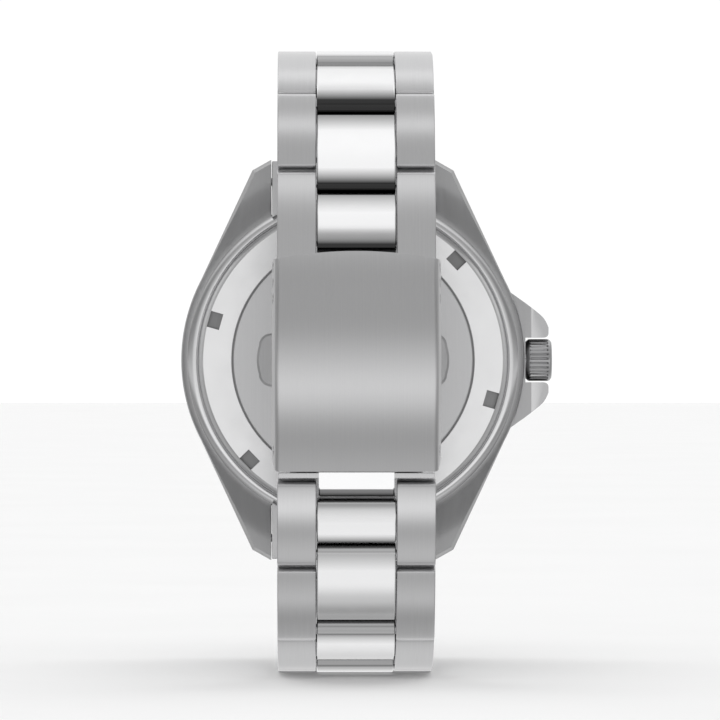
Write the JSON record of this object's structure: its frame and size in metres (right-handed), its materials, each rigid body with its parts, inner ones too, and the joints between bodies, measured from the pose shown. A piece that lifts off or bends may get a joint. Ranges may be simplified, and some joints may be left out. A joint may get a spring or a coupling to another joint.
{
  "type": "dive watch",
  "caption": "Steel dive watch with a turning bezel, screw-down crown and linked bracelet closed by a folding clasp.",
  "frame": {"origin": "centre of the caseback's flat outer face", "axes": "+X towards the crown, +Y from the caseback to the crystal, +Z towards the six o'clock side"},
  "size_m": [0.0455, 0.0615, 0.0729],
  "materials": {
    "link_steel": "long-grain brushed outer pieces, polished centre pieces",
    "case_steel": "polished flanks and brushed lugs",
    "caseback_steel": "polished outer ring around a fine satin centre",
    "clasp_steel": "long-grain brushed",
    "pin_steel": "plain turned",
    "bezel_steel": "polished coin edge",
    "crown_steel": "polished, ribbed edge",
    "rehaut_steel": "satin",
    "bridge_steel": "striped",
    "hand_steel": "polished",
    "gilt_brass": "gilt",
    "rubber_seal": "matte",
    "bezel_scale": "gloss black with a pale minute scale",
    "dial_paint": "matte black",
    "holder_plastic": "matte",
    "crystal_glass": "clear"
  },
  "bodies": {
    "case": {"case_middle": "case_steel", "caseback": "caseback_steel", "caseback_gasket": "rubber_seal", "rehaut_ring": "rehaut_steel", "crystal": "crystal_glass", "crystal_gasket": "rubber_seal", "bezel_gasket": "rubber_seal", "bezel_click_spring": "pin_steel", "crown_tube": "pin_steel", "movement_holder": "holder_plastic", "mainplate": "gilt_brass", "train_bridge": "bridge_steel", "dial": "dial_paint", "upper_end_link": "link_steel", "lower_end_link": "link_steel", "upper_lug_spring_bar": "pin_steel", "lower_lug_spring_bar": "pin_steel"},
    "upper_link_1": {"upper_link_1": "link_steel", "upper_link_pin_1": "pin_steel"},
    "upper_link_2": {"upper_link_2": "link_steel", "upper_link_pin_2": "pin_steel"},
    "upper_link_3": {"upper_link_3": "link_steel", "upper_link_pin_3": "pin_steel"},
    "upper_link_4": {"upper_link_4": "link_steel", "upper_link_pin_4": "pin_steel"},
    "upper_link_5": {"upper_link_5": "link_steel", "upper_link_pin_5": "pin_steel"},
    "upper_link_6": {"upper_link_6": "link_steel", "upper_link_pin_6": "pin_steel"},
    "lower_link_1": {"lower_link_1": "link_steel", "lower_link_pin_1": "pin_steel"},
    "lower_link_2": {"lower_link_2": "link_steel", "lower_link_pin_2": "pin_steel"},
    "lower_link_3": {"lower_link_3": "link_steel", "lower_link_pin_3": "pin_steel"},
    "lower_link_4": {"lower_link_4": "link_steel", "lower_link_pin_4": "pin_steel"},
    "lower_link_5": {"lower_link_5": "link_steel", "lower_link_pin_5": "pin_steel"},
    "lower_link_6": {"lower_link_6": "link_steel", "lower_link_pin_6": "pin_steel"},
    "clasp_cover": {"clasp_cover": "clasp_steel", "upper_clasp_spring_bar": "pin_steel", "clasp_lip_pin": "pin_steel"},
    "outer_blade": {"clasp_outer_blade": "clasp_steel", "clasp_fold_pin": "pin_steel"},
    "inner_blade": {"clasp_inner_blade": "clasp_steel", "lower_clasp_spring_bar": "pin_steel"},
    "bezel": {"bezel_ring": "bezel_steel", "bezel_insert": "bezel_scale"},
    "keyless_work": {"clutch_pinion": "gilt_brass"},
    "crown": {"crown": "crown_steel", "crown_stem": "pin_steel", "crown_gasket": "rubber_seal"},
    "rotor": {"rotor": "bridge_steel"},
    "balance_wheel": {"balance_wheel": "gilt_brass"},
    "mainspring_barrel": {"mainspring_barrel": "gilt_brass"},
    "hour_hand": {"hour_hand": "hand_steel"},
    "minute_hand": {"minute_hand": "hand_steel"},
    "seconds_hand": {"seconds_hand": "hand_steel"}
  },
  "joints": [
    {"name": "clasp_unfold", "type": "hinge", "parent": "clasp_cover", "child": "outer_blade", "pos_m": [0, -0.04478, -0.0103], "axis": [-1, 0, 0], "range_deg": [0, 40]},
    {"name": "upper_link_1_hinge", "type": "hinge", "parent": "case", "child": "upper_link_1", "pos_m": [0, 0.001, 0.026], "axis": [-1, 0, 0], "range_deg": [-2.17, 0]},
    {"name": "upper_link_2_hinge", "type": "hinge", "parent": "upper_link_1", "child": "upper_link_2", "pos_m": [0, -0.00723, 0.0322], "axis": [-1, 0, 0], "range_deg": [0, 2.21]},
    {"name": "upper_link_3_hinge", "type": "hinge", "parent": "upper_link_2", "child": "upper_link_3", "pos_m": [0, -0.01715, 0.03495], "axis": [-1, 0, 0], "range_deg": [0, 2.04]},
    {"name": "upper_link_4_hinge", "type": "hinge", "parent": "upper_link_3", "child": "upper_link_4", "pos_m": [0, -0.02745, 0.03468], "axis": [-1, 0, 0], "range_deg": [0, 5.15]},
    {"name": "upper_link_5_hinge", "type": "hinge", "parent": "upper_link_4", "child": "upper_link_5", "pos_m": [0, -0.03632, 0.02945], "axis": [-1, 0, 0], "range_deg": [0, 5.94]},
    {"name": "upper_link_6_hinge", "type": "hinge", "parent": "upper_link_5", "child": "upper_link_6", "pos_m": [0, -0.04108, 0.02032], "axis": [-1, 0, 0], "range_deg": [0, 1.86]},
    {"name": "lower_link_1_hinge", "type": "hinge", "parent": "case", "child": "lower_link_1", "pos_m": [0, 0.001, -0.026], "axis": [1, 0, 0], "range_deg": [0, 0.81]},
    {"name": "lower_link_2_hinge", "type": "hinge", "parent": "lower_link_1", "child": "lower_link_2", "pos_m": [0, -0.00689, -0.03262], "axis": [1, 0, 0], "range_deg": [0, 1.01]},
    {"name": "lower_link_3_hinge", "type": "hinge", "parent": "lower_link_2", "child": "lower_link_3", "pos_m": [0, -0.01684, -0.03529], "axis": [1, 0, 0], "range_deg": [0, 0.81]},
    {"name": "lower_link_4_hinge", "type": "hinge", "parent": "lower_link_3", "child": "lower_link_4", "pos_m": [0, -0.02714, -0.03502], "axis": [1, 0, 0], "range_deg": [0, 1.01]},
    {"name": "lower_link_5_hinge", "type": "hinge", "parent": "lower_link_4", "child": "lower_link_5", "pos_m": [0, -0.03662, -0.03099], "axis": [1, 0, 0], "range_deg": [0, 1.21]},
    {"name": "lower_link_6_hinge", "type": "hinge", "parent": "lower_link_5", "child": "lower_link_6", "pos_m": [0, -0.04208, -0.02226], "axis": [1, 0, 0], "range_deg": [0, 0.81]},
    {"name": "clasp_cover_hinge", "type": "hinge", "parent": "upper_link_6", "child": "clasp_cover", "pos_m": [0, -0.04418, 0.01049], "axis": [-1, 0, 0], "range_deg": [-0.81, 0]},
    {"name": "inner_blade_hinge", "type": "hinge", "parent": "outer_blade", "child": "inner_blade", "pos_m": [0, -0.04495, 0.007], "axis": [1, 0, 0], "range_deg": [0, 40.01]},
    {"name": "bezel_turn", "type": "hinge", "parent": "case", "child": "bezel", "pos_m": [0, 0.011, 0], "axis": [0, 1, 0], "continuous": true},
    {"name": "crown_turn", "type": "hinge", "parent": "case", "child": "keyless_work", "pos_m": [0.0098, 0.0053, 0], "axis": [1, 0, 0], "continuous": true},
    {"name": "crown_pull", "type": "slide", "parent": "keyless_work", "child": "crown", "axis": [1, 0, 0], "range_m": [0, 0.0016]},
    {"name": "rotor_turn", "type": "hinge", "parent": "case", "child": "rotor", "pos_m": [0, 0.0025, 0], "axis": [0, 1, 0], "continuous": true},
    {"name": "balance_swing", "type": "hinge", "parent": "case", "child": "balance_wheel", "pos_m": [-0.007, 0.0055, -0.007], "axis": [0, 1, 0], "range_deg": [-150, 150], "stiffness_Nm_per_rad": 0.0000006},
    {"name": "minute_hand_turn", "type": "hinge", "parent": "case", "child": "minute_hand", "pos_m": [0, 0.0093, 0], "axis": [0, -1, 0], "continuous": true},
    {"name": "hour_hand_turn", "type": "hinge", "parent": "case", "child": "hour_hand", "pos_m": [0, 0.0088, 0], "axis": [0, -1, 0], "continuous": true},
    {"name": "barrel_turn", "type": "hinge", "parent": "case", "child": "mainspring_barrel", "pos_m": [-0.005, 0.0055, 0.0075], "axis": [0, -1, 0], "continuous": true},
    {"name": "seconds_hand_turn", "type": "hinge", "parent": "case", "child": "seconds_hand", "pos_m": [0, 0.00975, 0], "axis": [0, -1, 0], "continuous": true}
  ],
  "couplings": [
    {"joint": "upper_link_1_hinge", "follows": "clasp_unfold", "ratio": -0.053922},
    {"joint": "upper_link_2_hinge", "follows": "clasp_unfold", "ratio": 0.055},
    {"joint": "upper_link_3_hinge", "follows": "clasp_unfold", "ratio": 0.050818},
    {"joint": "upper_link_4_hinge", "follows": "clasp_unfold", "ratio": 0.12851},
    {"joint": "upper_link_5_hinge", "follows": "clasp_unfold", "ratio": 0.14823},
    {"joint": "upper_link_6_hinge", "follows": "clasp_unfold", "ratio": 0.046381},
    {"joint": "lower_link_1_hinge", "follows": "clasp_unfold", "ratio": 0.02},
    {"joint": "lower_link_2_hinge", "follows": "clasp_unfold", "ratio": 0.025},
    {"joint": "lower_link_3_hinge", "follows": "clasp_unfold", "ratio": 0.02},
    {"joint": "lower_link_4_hinge", "follows": "clasp_unfold", "ratio": 0.025},
    {"joint": "lower_link_5_hinge", "follows": "clasp_unfold", "ratio": 0.03},
    {"joint": "lower_link_6_hinge", "follows": "clasp_unfold", "ratio": 0.02},
    {"joint": "clasp_cover_hinge", "follows": "clasp_unfold", "ratio": -0.02},
    {"joint": "inner_blade_hinge", "follows": "clasp_unfold", "ratio": 1},
    {"joint": "hour_hand_turn", "follows": "minute_hand_turn", "ratio": 0.083333},
    {"joint": "barrel_turn", "follows": "minute_hand_turn", "ratio": 0.14286}
  ]
}
